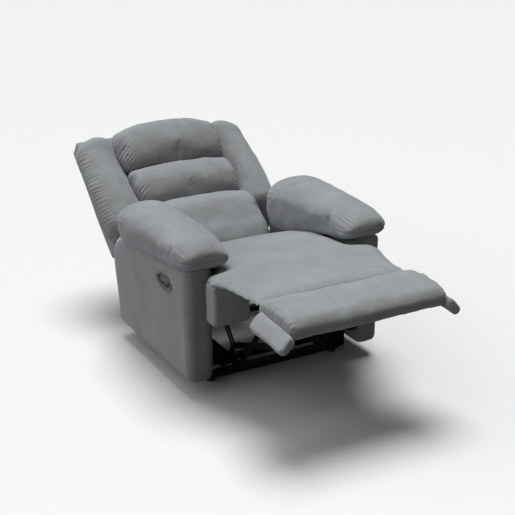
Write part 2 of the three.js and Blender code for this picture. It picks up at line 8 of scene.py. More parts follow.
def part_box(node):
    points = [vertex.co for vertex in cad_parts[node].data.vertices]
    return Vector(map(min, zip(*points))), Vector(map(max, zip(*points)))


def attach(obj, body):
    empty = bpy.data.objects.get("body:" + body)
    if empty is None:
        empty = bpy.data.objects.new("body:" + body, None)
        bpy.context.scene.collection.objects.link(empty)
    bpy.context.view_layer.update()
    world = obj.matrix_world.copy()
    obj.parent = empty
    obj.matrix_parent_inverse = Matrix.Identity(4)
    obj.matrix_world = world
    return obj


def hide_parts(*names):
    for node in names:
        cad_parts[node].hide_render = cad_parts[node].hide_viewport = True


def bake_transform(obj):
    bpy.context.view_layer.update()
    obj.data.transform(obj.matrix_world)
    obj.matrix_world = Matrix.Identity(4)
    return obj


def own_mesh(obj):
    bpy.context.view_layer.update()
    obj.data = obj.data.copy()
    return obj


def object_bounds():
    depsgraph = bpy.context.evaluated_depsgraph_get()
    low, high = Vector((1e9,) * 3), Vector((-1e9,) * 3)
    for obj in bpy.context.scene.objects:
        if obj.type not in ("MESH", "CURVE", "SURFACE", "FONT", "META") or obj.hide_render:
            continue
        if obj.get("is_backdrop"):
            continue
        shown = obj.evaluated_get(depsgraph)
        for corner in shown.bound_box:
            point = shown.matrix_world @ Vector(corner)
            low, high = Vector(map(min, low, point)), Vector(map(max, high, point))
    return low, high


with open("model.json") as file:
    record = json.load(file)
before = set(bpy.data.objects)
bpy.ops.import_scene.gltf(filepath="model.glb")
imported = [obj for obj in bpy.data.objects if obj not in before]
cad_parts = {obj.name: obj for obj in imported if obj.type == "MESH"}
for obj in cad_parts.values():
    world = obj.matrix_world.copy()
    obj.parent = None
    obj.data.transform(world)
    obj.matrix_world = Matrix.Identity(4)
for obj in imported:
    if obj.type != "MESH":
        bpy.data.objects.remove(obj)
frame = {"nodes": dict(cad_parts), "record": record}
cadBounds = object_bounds()
print("frame loaded")

# Pieces are laid out from the front face of the arms (y) and the floor (z), in metres.
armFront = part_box("arm_right_outer_panel")[0][1]


def at(x, y, z):
    return Vector((x, y + armFront, z))


def span(node):
    low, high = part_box(node)
    return Vector(low), Vector(high)


# Camera, lights and floor

cameraSet = {"place": (-2.05, -3.57, 2.045), "turn": 28.3, "down": 20.6, "roll": -0.45, "lens": 81.4}


def makeCamera():
    data = bpy.data.cameras.new("camera")
    data.lens = cameraSet["lens"]
    data.sensor_width = 36
    camera = bpy.data.objects.new("camera", data)
    bpy.context.collection.objects.link(camera)
    turn = math.radians(cameraSet["turn"])
    down = math.radians(cameraSet["down"])
    forward = Vector((math.sin(turn) * math.cos(down), math.cos(turn) * math.cos(down), -math.sin(down)))
    camera.rotation_euler = forward.to_track_quat("-Z", "Y").to_euler()
    camera.rotation_euler.rotate_axis("Z", math.radians(cameraSet["roll"]))
    camera.location = at(*cameraSet["place"])
    bpy.context.scene.camera = camera


lightSet = {
    "overhead": {"from": (0.30, 0.50, 2.2), "power": 2.9, "spread": 34},
    "left": {"from": (-1.0, 0.35, 0.42), "power": 1.6, "spread": 110},
}
skySet = {"seen": 0.93, "fill": 0.06}


def makeLights():
    for name, values in lightSet.items():
        data = bpy.data.lights.new(name, "SUN")
        data.energy = values["power"]
        data.angle = math.radians(values["spread"])
        light = bpy.data.objects.new(name, data)
        light.rotation_euler = (-Vector(values["from"])).to_track_quat("-Z", "Y").to_euler()
        bpy.context.collection.objects.link(light)
    world = bpy.data.worlds.new("studio")
    world.use_nodes = True
    tree = world.node_tree
    background = tree.nodes["Background"]
    background.inputs["Color"].default_value = (0.98, 0.99, 1.0, 1)
    # a bright backdrop to look at, and a weak fill to light with
    path = tree.nodes.new("ShaderNodeLightPath")
    spread = tree.nodes.new("ShaderNodeMapRange")
    spread.inputs["To Min"].default_value = skySet["fill"]
    spread.inputs["To Max"].default_value = skySet["seen"]
    tree.links.new(path.outputs["Is Camera Ray"], spread.inputs["Value"])
    tree.links.new(spread.outputs["Result"], background.inputs["Strength"])
    bpy.context.scene.world = world
    bpy.context.scene.view_settings.view_transform = "Standard"


floorSet = {"seen": (0.80, 0.805, 0.81, 1), "bounced": (0.16, 0.16, 0.165, 1)}


def makeFloor():
    mesh = bpy.data.meshes.new("floor")
    size = 30
    corners = [(-size, -size, 0), (size, -size, 0), (size, size, 0), (-size, size, 0)]
    mesh.from_pydata(corners, [], [(0, 1, 2, 3)])
    floor = bpy.data.objects.new("floor", mesh)
    bpy.context.collection.objects.link(floor)
    paint = bpy.data.materials.new("paleFloor")
    paint.use_nodes = True
    shader = paint.node_tree.nodes["Principled BSDF"]
    shader.inputs["Roughness"].default_value = 0.6
    # the floor looks pale but throws little light back up
    path = paint.node_tree.nodes.new("ShaderNodeLightPath")
    mix = paint.node_tree.nodes.new("ShaderNodeMix")
    mix.data_type = "RGBA"
    mix.inputs["A"].default_value = floorSet["bounced"]
    mix.inputs["B"].default_value = floorSet["seen"]
    paint.node_tree.links.new(path.outputs["Is Camera Ray"], mix.inputs["Factor"])
    paint.node_tree.links.new(mix.outputs["Result"], shader.inputs["Base Color"])
    mesh.materials.append(paint)
    floor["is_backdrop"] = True


makeCamera()
makeLights()
makeFloor()
print("camera, lights and floor ready")


# Shader groups and materials

def newGroup(name, inputs, outputs):
    group = bpy.data.node_groups.new(name, "ShaderNodeTree")
    for label, kind, value in inputs:
        socket = group.interface.new_socket(label, in_out="INPUT", socket_type=kind)
        socket.default_value = value
    for label, kind in outputs:
        group.interface.new_socket(label, in_out="OUTPUT", socket_type=kind)
    start = group.nodes.new("NodeGroupInput")
    end = group.nodes.new("NodeGroupOutput")
    return group, start, end


def noiseNode(tree, source, scale, detail, roughness=0.5, stretch=None):
    node = tree.nodes.new("ShaderNodeTexNoise")
    node.inputs["Scale"].default_value = scale
    node.inputs["Detail"].default_value = detail
    node.inputs["Roughness"].default_value = roughness
    if stretch:
        mapping = tree.nodes.new("ShaderNodeMapping")
        mapping.inputs["Scale"].default_value = stretch
        tree.links.new(source, mapping.inputs["Vector"])
        source = mapping.outputs["Vector"]
    tree.links.new(source, node.inputs["Vector"])
    return node


def mathNode(tree, operation, first, second):
    node = tree.nodes.new("ShaderNodeMath")
    node.operation = operation
    for socket, value in zip(node.inputs, (first, second)):
        if isinstance(value, (int, float)):
            socket.default_value = value
        else:
            tree.links.new(value, socket)
    return node.outputs[0]


def makeNapGroup():
    group, start, end = newGroup(
        "suedeNap",
        [("Base", "NodeSocketColor", (0.2, 0.2, 0.2, 1)), ("Patch Scale", "NodeSocketFloat", 9.0),
         ("Patch Strength", "NodeSocketFloat", 0.3)],
        [("Color", "NodeSocketColor"), ("Height", "NodeSocketFloat"), ("Roughness", "NodeSocketFloat")])
    coordinates = group.nodes.new("ShaderNodeTexCoord").outputs["Object"]
    patch = noiseNode(group, coordinates, 9, 4, 0.6)
    group.links.new(start.outputs["Patch Scale"], patch.inputs["Scale"])
    smear = noiseNode(group, coordinates, 26, 5, 0.65, (1, 0.35, 0.6))
    fibre = noiseNode(group, coordinates, 900, 3, 0.7)
    speck = noiseNode(group, coordinates, 330, 2, 0.6)
    mixed = mathNode(group, "ADD", mathNode(group, "MULTIPLY", patch.outputs["Fac"], 0.55),
                     mathNode(group, "MULTIPLY", smear.outputs["Fac"], 0.45))
    centred = mathNode(group, "SUBTRACT", mixed, 0.5)
    strong = mathNode(group, "MULTIPLY", centred, start.outputs["Patch Strength"])
    fine = mathNode(group, "MULTIPLY", mathNode(group, "SUBTRACT", fibre.outputs["Fac"], 0.5), 0.5)
    mid = mathNode(group, "MULTIPLY", mathNode(group, "SUBTRACT", speck.outputs["Fac"], 0.5), 0.5)
    total = mathNode(group, "ADD", mathNode(group, "ADD", strong, fine), mid)
    factor = mathNode(group, "ADD", total, 1.0)
    tint = group.nodes.new("ShaderNodeVectorMath")
    tint.operation = "SCALE"
    group.links.new(start.outputs["Base"], tint.inputs[0])
    group.links.new(factor, tint.inputs["Scale"])
    group.links.new(tint.outputs["Vector"], end.inputs["Color"])
    height = mathNode(group, "ADD", mathNode(group, "MULTIPLY", fibre.outputs["Fac"], 0.6),
                      mathNode(group, "MULTIPLY", speck.outputs["Fac"], 0.4))
    group.links.new(height, end.inputs["Height"])
    group.links.new(mathNode(group, "ADD", mathNode(group, "MULTIPLY", patch.outputs["Fac"], 0.1), 0.86),
                    end.inputs["Roughness"])
    return group


def makeGrainGroup():
    group, start, end = newGroup(
        "fineGrain",
        [("Base", "NodeSocketColor", (0.1, 0.1, 0.1, 1)), ("Scale", "NodeSocketFloat", 300.0),
         ("Contrast", "NodeSocketFloat", 0.2), ("Middle Roughness", "NodeSocketFloat", 0.5)],
        [("Color", "NodeSocketColor"), ("Height", "NodeSocketFloat"), ("Roughness", "NodeSocketFloat")])
    coordinates = group.nodes.new("ShaderNodeTexCoord").outputs["Object"]
    grain = noiseNode(group, coordinates, 300, 3)
    group.links.new(start.outputs["Scale"], grain.inputs["Scale"])
    broad = noiseNode(group, coordinates, 14, 3)
    both = mathNode(group, "ADD", mathNode(group, "SUBTRACT", grain.outputs["Fac"], 0.5),
                    mathNode(group, "SUBTRACT", broad.outputs["Fac"], 0.5))
    change = mathNode(group, "MULTIPLY", both, start.outputs["Contrast"])
    factor = mathNode(group, "ADD", change, 1.0)
    tint = group.nodes.new("ShaderNodeVectorMath")
    tint.operation = "SCALE"
    group.links.new(start.outputs["Base"], tint.inputs[0])
    group.links.new(factor, tint.inputs["Scale"])
    group.links.new(tint.outputs["Vector"], end.inputs["Color"])
    group.links.new(grain.outputs["Fac"], end.inputs["Height"])
    group.links.new(mathNode(group, "ADD", change, start.outputs["Middle Roughness"]),
                    end.inputs["Roughness"])
    return group


napGroup = makeNapGroup()
grainGroup = makeGrainGroup()


def useGroup(name, group, values, bumpStrength, bumpDistance):
    material = bpy.data.materials.new(name)
    material.use_nodes = True
    tree = material.node_tree
    shader = tree.nodes["Principled BSDF"]
    node = tree.nodes.new("ShaderNodeGroup")
    node.node_tree = group
    for label, value in values.items():
        node.inputs[label].default_value = value
    bump = tree.nodes.new("ShaderNodeBump")
    bump.inputs["Strength"].default_value = bumpStrength
    bump.inputs["Distance"].default_value = bumpDistance
    tree.links.new(node.outputs["Color"], shader.inputs["Base Color"])
    tree.links.new(node.outputs["Roughness"], shader.inputs["Roughness"])
    tree.links.new(node.outputs["Height"], bump.inputs["Height"])
    tree.links.new(bump.outputs["Normal"], shader.inputs["Normal"])
    return material, shader


suedeSet = {"color": (0.285, 0.297, 0.303, 1), "patchScale": 7.0, "patchStrength": 0.75}
suede, suedeShader = useGroup(
    "greySuede", napGroup,
    {"Base": suedeSet["color"], "Patch Scale": suedeSet["patchScale"],
     "Patch Strength": suedeSet["patchStrength"]}, 0.35, 0.0006)
suedeShader.inputs["Sheen Weight"].default_value = 0.5
suedeShader.inputs["Sheen Roughness"].default_value = 0.45
suedeShader.inputs["Sheen Tint"].default_value = (0.9, 0.93, 1.0, 1)
suedeShader.inputs["Specular IOR Level"].default_value = 0.15

blackSteel, steelShader = useGroup(
    "blackSteel", grainGroup,
    {"Base": (0.014, 0.014, 0.015, 1), "Scale": 420.0, "Contrast": 0.35, "Middle Roughness": 0.42},
    0.2, 0.0003)
steelShader.inputs["Metallic"].default_value = 0.3

frameWood, woodShader = useGroup(
    "frameWood", grainGroup,
    {"Base": (0.075, 0.055, 0.042, 1), "Scale": 90.0, "Contrast": 0.4, "Middle Roughness": 0.68}, 0.3, 0.0004)

greyPlastic, greyShader = useGroup(
    "greyPlastic", grainGroup,
    {"Base": (0.17, 0.175, 0.18, 1), "Scale": 500.0, "Contrast": 0.12, "Middle Roughness": 0.42},
    0.15, 0.0002)

darkPlastic, darkShader = useGroup(
    "darkPlastic", grainGroup,
    {"Base": (0.018, 0.018, 0.02, 1), "Scale": 500.0, "Contrast": 0.15, "Middle Roughness": 0.5},
    0.15, 0.0002)

springSteel, springShader = useGroup(
    "springSteel", grainGroup,
    {"Base": (0.35, 0.35, 0.36, 1), "Scale": 200.0, "Contrast": 0.25, "Middle Roughness": 0.38}, 0.1, 0.0002)
springShader.inputs["Metallic"].default_value = 0.9

slotMaterials = {"suede": suede, "black_steel": blackSteel, "frame_wood": frameWood,
                 "grey_plastic": greyPlastic, "dark_plastic": darkPlastic, "spring_steel": springSteel}
for entry in frame["record"]["subparts"]:
    cadPiece = frame["nodes"][entry["node"]]
    cadPiece.data.materials.clear()
    cadPiece.data.materials.append(slotMaterials[entry["material_slot"]])
print("materials ready")


# Mesh tools

def smoothLoop(points, count):
    # closed curve through the points, evenly spaced
    total = len(points)
    fine = []
    for i in range(total):
        p0, p1, p2, p3 = (Vector(points[(i + k - 1) % total]) for k in range(4))
        for step in range(12):
            t = step / 12
            fine.append(0.5 * ((2 * p1) + (p2 - p0) * t + (2 * p0 - 5 * p1 + 4 * p2 - p3) * t * t
                               + (3 * p1 - p0 - 3 * p2 + p3) * t ** 3))
    lengths = [0.0]
    for i in range(len(fine)):
        lengths.append(lengths[-1] + (fine[(i + 1) % len(fine)] - fine[i]).length)
    result = []
    here = 0
    for i in range(count):
        target = lengths[-1] * i / count
        while lengths[here + 1] < target:
            here += 1
        part = (target - lengths[here]) / max(lengths[here + 1] - lengths[here], 1e-9)
        result.append(fine[here % len(fine)].lerp(fine[(here + 1) % len(fine)], part))
    return result


def meshFromRings(name, rings, closed=False):
    # a tube of rings, either joined end to start or with a fan cap on each end
    count = len(rings[0])
    vertices = [v for ring in rings for v in ring]
    faces = []
    for r in range(len(rings) - 1):
        for i in range(count):
            j = (i + 1) % count
            faces.append((r * count + i, r * count + j, (r + 1) * count + j, (r + 1) * count + i))
    if closed:
        last = (len(rings) - 1) * count
        faces += [(last + i, last + (i + 1) % count, (i + 1) % count, i) for i in range(count)]
    for base, flip in () if closed else ((0, True), ((len(rings) - 1) * count, False)):
        centre = sum((vertices[base + i] for i in range(count)), Vector()) / count
        vertices.append(centre)
        tip = len(vertices) - 1
        for i in range(count):
            j = (i + 1) % count
            faces.append((base + j, base + i, tip) if flip else (base + i, base + j, tip))
    mesh = bpy.data.meshes.new(name)
    mesh.from_pydata(vertices, [], faces)
    work = bmesh.new()
    work.from_mesh(mesh)
    bmesh.ops.recalc_face_normals(work, faces=work.faces)
    work.to_mesh(mesh)
    work.free()
    piece = bpy.data.objects.new(name, mesh)
    bpy.context.collection.objects.link(piece)
    return piece


def stationSpread(low, high, rim, middle):
    # stations close together at the rounded ends, each with its inset
    result = []
    ends = 7
    for i in range(ends):
        angle = math.pi / 2 * i / ends
        result.append((low + rim * (1 - math.cos(angle)), rim * (1 - math.sin(angle))))
    for i in range(middle + 1):
        result.append((low + rim + (high - low - 2 * rim) * i / middle, 0.0))
    for station, inset in reversed(result[:ends]):
        result.append((low + high - station, inset))
    return result


def pillow(name, outline, place, low, high, rim, middle=40, count=96, shape=None):
    # a profile run from low to high whose ends round off by rim
    loop = smoothLoop(outline, count)
    firsts = [p[0] for p in loop]
    seconds = [p[1] for p in loop]
    centre = Vector(((min(firsts) + max(firsts)) / 2, (min(seconds) + max(seconds)) / 2))
    halfA = (max(firsts) - min(firsts)) / 2
    halfB = (max(seconds) - min(seconds)) / 2
    rings = []
    for station, inset in stationSpread(low, high, rim, middle):
        scaleA = 1 - min(inset / halfA, 0.9)
        scaleB = 1 - min(inset / halfB, 0.9)
        ring = []
        for p in loop:
            a = centre[0] + (p[0] - centre[0]) * scaleA
            b = centre[1] + (p[1] - centre[1]) * scaleB
            if shape:
                a, b = shape(a, b, station)
            ring.append(place(a, b, station))
        rings.append(ring)
    return meshFromRings(name, rings)


def acrossX(a, b, station):
    return at(station, a, b)


def near(value, centre, width):
    return math.exp(-((value - centre) / width) ** 2)


def fade(value, start, end):
    t = min(max((value - start) / (end - start), 0.0), 1.0)
    return t * t * (3 - 2 * t)


def wrinkle(piece, amount, scale, seed):
    # broad soft unevenness along the normals
    mesh = piece.data
    moves = []
    for v in mesh.vertices:
        p = v.co * scale + Vector((seed, seed * 0.7, 0))
        moves.append(v.normal * (noise.noise(p) * amount + noise.noise(p * 2.3) * amount * 0.4))
    for v, move in zip(mesh.vertices, moves):
        v.co += move


def displace(piece, rule):
    # rule gives a distance along the normal for each point
    mesh = piece.data
    moves = []
    for v in mesh.vertices:
        local = Vector((v.co.x, v.co.y - armFront, v.co.z))
        moves.append(v.normal * rule(local, v.normal))
    for v, move in zip(mesh.vertices, moves):
        v.co += move
    mesh.update()


def gather(phase, pitch, seed):
    # uneven ruching: folds of about one pitch along phase, some deep and some missing
    drift = noise.noise(Vector((phase / pitch * 0.23, seed, 0.0))) * 2.6
    wave = math.sin(2 * math.pi * phase / pitch + drift * 2.0)
    depth = 0.55 + 0.9 * noise.noise(Vector((phase / pitch * 0.45, seed + 5, 1)))
    return -abs(min(wave, 0.0)) ** 0.8 * max(depth, 0.05) + max(wave, 0.0) * 0.35 * max(depth, 0.05)


def puff(piece, voxel, pressure, cap, frames=20):
    # inflate the piece as cloth, and cap how far a point may move
    bpy.context.view_layer.objects.active = piece
    remesh = piece.modifiers.new("remesh", "REMESH")
    remesh.mode = "VOXEL"
    remesh.voxel_size = voxel
    bpy.ops.object.select_all(action="DESELECT")
    piece.select_set(True)
    bpy.ops.object.modifier_apply(modifier=remesh.name)
    before = [v.co.copy() for v in piece.data.vertices]
    cloth = piece.modifiers.new("cloth", "CLOTH")
    cloth.settings.use_pressure = True
    cloth.settings.uniform_pressure_force = pressure
    cloth.settings.effector_weights.gravity = 0
    cloth.settings.quality = 4
    cloth.settings.tension_stiffness = 12
    cloth.settings.bending_stiffness = 0.4
    cloth.collision_settings.use_collision = False
    cloth.point_cache.frame_end = frames
    scene = bpy.context.scene
    for step in range(1, frames + 1):
        scene.frame_set(step)
    bpy.ops.object.modifier_apply(modifier=cloth.name)
    scene.frame_set(1)
    for v, old in zip(piece.data.vertices, before):
        move = v.co - old
        if move.length > cap:
            v.co = old + move * (cap / move.length)
    piece.data.update()


def applyLast(piece):
    bpy.context.view_layer.objects.active = piece
    bpy.ops.object.select_all(action="DESELECT")
    piece.select_set(True)
    bpy.ops.object.modifier_apply(modifier=piece.modifiers[-1].name)


def refine(piece, levels=1):
    modifier = piece.modifiers.new("smooth", "SUBSURF")
    modifier.levels = levels
    modifier.render_levels = levels
    applyLast(piece)


def finishSoft(piece, body, nodes):
    piece.data.materials.clear()
    piece.data.materials.append(suede)
    for polygon in piece.data.polygons:
        polygon.use_smooth = True
    if body:
        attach(piece, body)
    if nodes:
        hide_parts(*nodes)


sides = (("right", -1), ("left", 1))

# Arm boxes: upholstered boxes with rounded edges, open to the floor gap below
armSet = {"rim": 0.034, "corner": 0.11, "streak": 0.0034}


def makeArmBox(name, side):
    low, high = span(f"arm_{name}_outer_panel")
    inner = min(abs(v) for v in (span(f"arm_{name}_inner_panel")[0].x, span(f"arm_{name}_inner_panel")[1].x))
    outer = max(abs(low.x), abs(high.x))
    depth = high.y - low.y
    corner = armSet["corner"]
    cornerZ = high.z - 0.052 - corner
    outline = [(0.0, low.z + 0.05), (0.0, low.z + 0.004), (0.004, low.z), (0.05, low.z), (0.2, low.z),
               (0.4, low.z), (0.62, low.z), (0.684, low.z), (0.690, low.z + 0.006), (0.694, low.z + 0.06),
               (0.71, low.z + 0.17), (depth - 0.001, cornerZ - 0.02)]
    for i in range(0, 6):
        angle = math.radians(6 + 78 * i / 5)
        outline.append((depth - corner + corner * math.cos(angle), cornerZ + corner * math.sin(angle)))
    outline += [(0.4, high.z - 0.0345), (0.2, high.z - 0.0175), (0.05, high.z - 0.005),
                (0.004, high.z - 0.001), (0.0, high.z - 0.006), (0.0, high.z - 0.06), (0.0, 0.28)]
    piece = pillow(f"armBox_{name}", outline, lambda a, b, s: at(side * s, a, b), inner, outer,
                   armSet["rim"], middle=14, count=150)
    refine(piece)
    wrinkle(piece, 0.0016, 9, 5 + side)
    displace(piece, lambda p, n: armSet["streak"] * noise.noise(Vector((p.x * 9, p.y * 17, p.z * 2.4))))
    if side < 0:
        cupLow, cupHigh = span("latch_cup")
        bpy.ops.mesh.primitive_cylinder_add(vertices=64, radius=1, depth=1)
        cutter = bpy.context.active_object
        cutter.scale = ((cupHigh.z - cupLow.z) / 2 - 0.0045, (cupHigh.y - cupLow.y) / 2 - 0.0045, 0.12)
        cutter.rotation_euler = (0, math.radians(90), 0)
        cutter.location = (-outer - 0.015, (cupLow.y + cupHigh.y) / 2, (cupLow.z + cupHigh.z) / 2)
        cut = piece.modifiers.new("cut", "BOOLEAN")
        cut.operation = "DIFFERENCE"
        cut.solver = "FAST"
        cut.object = cutter
        applyLast(piece)
        bpy.data.objects.remove(cutter, do_unlink=True)
    finishSoft(piece, "base",
               [f"arm_{name}_outer_panel", f"arm_{name}_inner_panel", f"arm_{name}_frame"])


for name, side in sides:
    makeArmBox(name, side)

# The latch: a grey dish inside the cup, and a soft-edged lobed paddle
latchSet = {"wall": 0.0135, "paddleBevel": 0.0018}


def makeLatch():
    low, high = span("latch_cup")
    centreY, centreZ = (low.y + high.y) / 2, (low.z + high.z) / 2
    halfY = (high.y - low.y) / 2 - latchSet["wall"] + 0.0028
    halfZ = (high.z - low.z) / 2 - latchSet["wall"] + 0.0028
    rings = []
    profile = [(1.0, 0.0005), (0.985, 0.0005), (0.965, 0.004), (0.95, 0.012), (0.93, 0.024), (0.80, 0.0292),
               (0.4, 0.0300), (0.02, 0.0300)]
    back = [(0.02, 0.0308), (0.4, 0.0308), (0.82, 0.0300), (0.95, 0.0248), (0.97, 0.012), (1.0, 0.002)]
    for scale, depth in profile + back:
        ring = []
        for i in range(56):
            angle = 2 * math.pi * i / 56
            ring.append(Vector((low.x + 0.0034 + depth - 0.002, centreY + halfY * scale * math.cos(angle),
                                centreZ + halfZ * scale * math.sin(angle))))
        rings.append(ring)
    dish = meshFromRings("latchDish", rings, closed=True)
    dish.data.materials.append(greyPlastic)
    for polygon in dish.data.polygons:
        polygon.use_smooth = True
    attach(dish, "base")
    source = frame["nodes"]["latch_paddle"]
    paddle = bpy.data.objects.new("latchPaddle", source.data.copy())
    bpy.context.collection.objects.link(paddle)
    work = bmesh.new()
    work.from_mesh(paddle.data)
    bmesh.ops.remove_doubles(work, verts=work.verts, dist=0.00001)
    bmesh.ops.dissolve_limit(work, angle_limit=math.radians(1), verts=work.verts, edges=work.edges)
    work.to_mesh(paddle.data)
    work.free()
    bevel = paddle.modifiers.new("bevel", "BEVEL")
    bevel.width = latchSet["paddleBevel"]
    bevel.segments = 3
    bevel.limit_method = "ANGLE"
    bevel.angle_limit = math.radians(50)
    applyLast(paddle)
    bpy.ops.object.shade_smooth_by_angle(angle=math.radians(40))
    paddle.data.materials.clear()
    paddle.data.materials.append(greyPlastic)
    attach(paddle, "latch")
    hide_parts("latch_paddle")


makeLatch()
print("arm boxes and latch ready")

# Arm pads: pillows over the arms, gathered round the nose and along the outer rear edge
padSet = {"rim": 0.050, "pleat": 0.0027, "pitch": 0.015, "hang": 0.050, "dome": 0.034}
padOutline = [(0.02, 0.522), (-0.018, 0.530), (-0.034, 0.556), (-0.026, 0.586), (0.02, 0.606), (0.10, 0.618),
              (0.23, 0.627), (0.37, 0.631), (0.48, 0.625), (0.56, 0.607), (0.610, 0.580), (0.630, 0.540),
              (0.630, 0.495), (0.610, 0.458), (0.56, 0.442), (0.40, 0.460), (0.20, 0.486), (0.08, 0.502)]


def makeArmPad(name, side):
    low, high = span(f"arm_{name}_pad")
    inner = min(abs(low.x), abs(high.x))
    outer = max(abs(low.x), abs(high.x))

    def hang(a, b, station):
        # on the seat side the pillow hangs down past the box
        drop = padSet["hang"] * (1 - fade(station, 0.27, 0.33)) * fade(a, 0.08, 0.42)
        fall = padSet["dome"] * (abs(station - 0.352) / 0.105) ** 2
        return a, b - drop * (1 - fade(b, 0.47, 0.60)) + (0.010 - fall) * fade(b, 0.54, 0.61)

    pad = pillow(f"armPad_{name}", padOutline, lambda a, b, s: at(side * s, a, b), inner + 0.006,
                 outer + 0.001, padSet["rim"], shape=hang)
    puff(pad, 0.0065, 4, 0.009)
    refine(pad)
    wrinkle(pad, 0.004, 7, 3 + side)
    wrinkle(pad, 0.0012, 24, 30 + side)

    def pleats(p, n):
        nose = near(p.y, 0.015, 0.055) * fade(p.z, 0.548, 0.566) * (1 - fade(p.z, 0.604, 0.625))
        front = padSet["pleat"] * nose * gather(p.x + 0.15 * p.y, padSet["pitch"], 2.0 + side)
        edge = fade(abs(p.x), outer - 0.055, outer - 0.01) * fade(p.y, -0.02, 0.03)
        outerEdge = (padSet["pleat"] * 0.7 * edge * near(p.z, 0.545, 0.045)
                     * gather(p.y + 0.4 * p.z, 0.019, 4.0))
        tail = near(p.y, 0.60, 0.06) * near(p.z, 0.545, 0.05)
        rear = padSet["pleat"] * 0.7 * tail * gather(p.x + 0.5 * p.z, 0.018, 8.0)
        seam = -0.006 * near(p.z, 0.552, 0.005) * near(p.y, -0.02, 0.045)
        return front + outerEdge + rear + seam

    displace(pad, pleats)
    finishSoft(pad, "base", [f"arm_{name}_pad"])


for name, side in sides:
    makeArmPad(name, side)
print("arm pads ready")

# The back is laid out in (s, t): s up along the rear face from its low corner, t forward from it
backSet = {"angle": 41.1, "corner": (0.849, 0.291), "top": 0.556}
backCos = math.cos(math.radians(backSet["angle"]))
backSin = math.sin(math.radians(backSet["angle"]))


def onBack(x, s, t):
    y = backSet["corner"][0] + s * backCos - t * backSin
    z = backSet["corner"][1] + s * backSin + t * backCos
    return at(x, y, z)


def backST(p):
    dy = p.y - backSet["corner"][0]
    dz = p.z - backSet["corner"][1]
    return dy * backCos + dz * backSin, -dy * backSin + dz * backCos


# Channels: wide crowned rolls whose ends are gathered into the seams beside the bolsters
channelSet = {"half": 0.240, "pitch": 0.019, "pleat": 0.0034, "seamTuck": 0.020}


def makeChannel(name, outline, nodes, seed, cap, dome=0.0):
    def shape(a, b, station):
        end = fade(abs(station), 0.10, 0.24)
        tuck = channelSet["seamTuck"] * end * fade(b, 0.08, 0.17)
        arch = dome * (station / 0.24) ** 2 * fade(a, 0.42, 0.55)
        return a - arch, b - tuck

    piece = pillow(name, outline, lambda a, b, s: onBack(s, a, b), -channelSet["half"], channelSet["half"],
                   0.028, middle=56, shape=shape)
    puff(piece, 0.0065, 4, cap)
    refine(piece)
    wrinkle(piece, 0.004, 7, seed)
    wrinkle(piece, 0.0012, 22, seed + 3)

    def pleats(p, n):
        s, t = backST(p)
        reach = 0.05 + 0.035 * noise.noise(Vector((s * 30, seed, 0)))
        edge = fade(abs(p.x), 0.232 - reach, 0.232)
        ridge = fade(t, 0.10, 0.15)
        creases = 0.0
        if dome:
            across = near(p.x, -0.085, 0.006) + near(p.x, 0.085, 0.006)
            creases = -0.002 * across * fade(s, 0.44, 0.52) - 0.0015 * across * (1 - fade(s, 0.33, 0.37))
        folds = gather(s + 0.75 * abs(p.x), channelSet["pitch"], seed)
        return channelSet["pleat"] * edge * ridge * folds + creases

    displace(piece, pleats)
    finishSoft(piece, "back", nodes)


makeChannel("backMiddle", [(0.122, 0.07), (0.118, 0.12), (0.117, 0.172), (0.126, 0.204), (0.160, 0.226),
                           (0.212, 0.232), (0.265, 0.222), (0.300, 0.200), (0.316, 0.168), (0.318, 0.12),
                           (0.312, 0.07), (0.215, 0.066)], ["back_middle_cushion"], 11, 0.012)
makeChannel("backHead", [(0.322, 0.07), (0.318, 0.12), (0.319, 0.170), (0.330, 0.198), (0.372, 0.216),
                         (0.430, 0.222), (0.488, 0.216), (0.532, 0.192), (0.556, 0.150), (0.560, 0.108),
                         (0.542, 0.072), (0.43, 0.066)], ["back_head_cushion"], 23, 0.012, dome=0.028)


def lumbarOutline():
    # its lower front is the arc that sweeps past the seat when the back comes up
    sweep = 0.184
    hinge = Vector(jointPlace("back_recline"))
    points = [(0.113, 0.07), (0.115, 0.12), (0.114, 0.178), (0.104, 0.218), (0.080, 0.252), (0.045, 0.281),
              (0.005, 0.299)]
    for degrees in (118, 132, 146, 160, 172):
        y = hinge.y - armFront + sweep * math.cos(math.radians(degrees))
        z = hinge.z + sweep * math.sin(math.radians(degrees))
        points.append(backST(Vector((0, y, z))))
    return points + [(-0.16, 0.24), (-0.06, 0.155), (0.0, 0.075)]


def jointPlace(name):
    for joint in frame["record"]["behaviour"]["joints"]:
        if joint["name"] == name:
            return joint["pos_m"]


makeChannel("backLumbar", lumbarOutline(), ["back_lumbar_cushion"], 37, 0.005)

# Bolsters: upright rolls beside the channels, ruched along their outer edge
bolsterSet = {"rim": 0.068, "pitch": 0.018, "pleat": 0.0020, "low": 0.012, "high": -0.006, "belly": 0.012}
bolsterSection = [(0.262, 0.020), (0.32, 0.012), (0.374, 0.018), (0.396, 0.050), (0.400, 0.100),
                  (0.390, 0.140), (0.360, 0.166), (0.318, 0.180), (0.275, 0.172), (0.244, 0.148),
                  (0.234, 0.110), (0.244, 0.066)]


